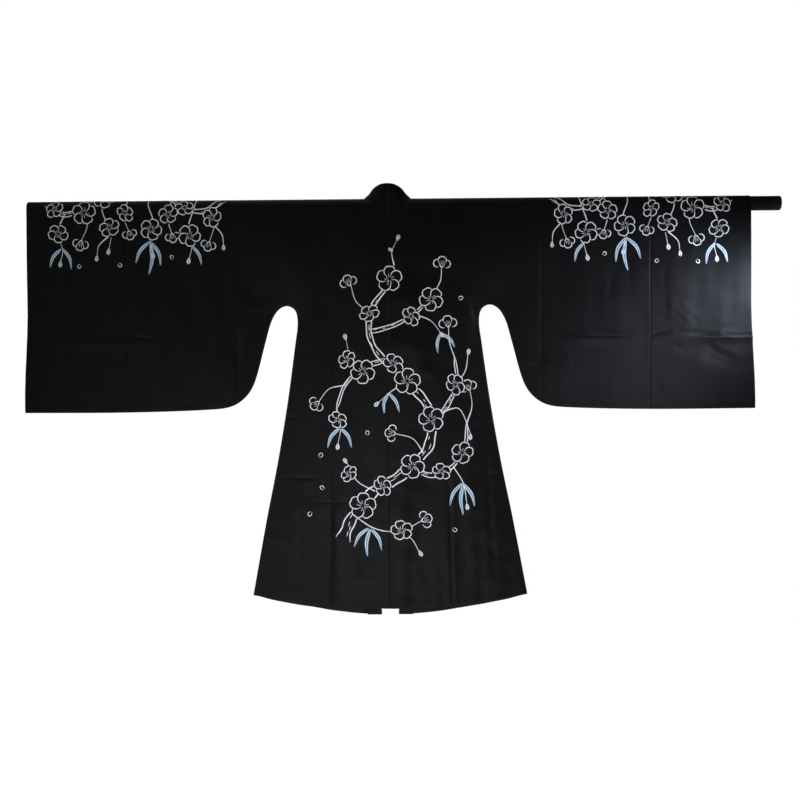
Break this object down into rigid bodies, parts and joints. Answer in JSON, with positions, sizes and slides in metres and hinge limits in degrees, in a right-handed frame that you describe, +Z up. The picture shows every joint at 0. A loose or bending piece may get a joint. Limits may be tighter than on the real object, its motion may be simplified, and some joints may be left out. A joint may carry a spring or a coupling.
{
  "type": "hanfu cloak on a rod",
  "caption": "Open-front cloak with wide rounded sleeves, an A-line body and a standing neck band, hung flat over a straight round rod.",
  "frame": {"origin": "on the rod's axis, in the cloak's centre plane", "axes": "+X along the rod towards the cap that shows, +Y towards the cloak's open front, +Z up; the cloak's back faces -Y"},
  "size_m": [2.1183, 0.0689, 1.208],
  "materials": {
    "cloth": "near-black fine weave with a soft cool sheen and pale line embroidery",
    "band": "near-black fine weave, folded double and topstitched",
    "rod": "brown-black satin paint",
    "cap": "brown-black moulded end cap"
  },
  "bodies": {
    "root": {"body_left": "cloth", "body_right": "cloth", "sleeve_left": "cloth", "sleeve_right": "cloth", "band_left": "band", "band_right": "band", "rod": "rod", "rod_cap": "cap"}
  },
  "joints": []
}
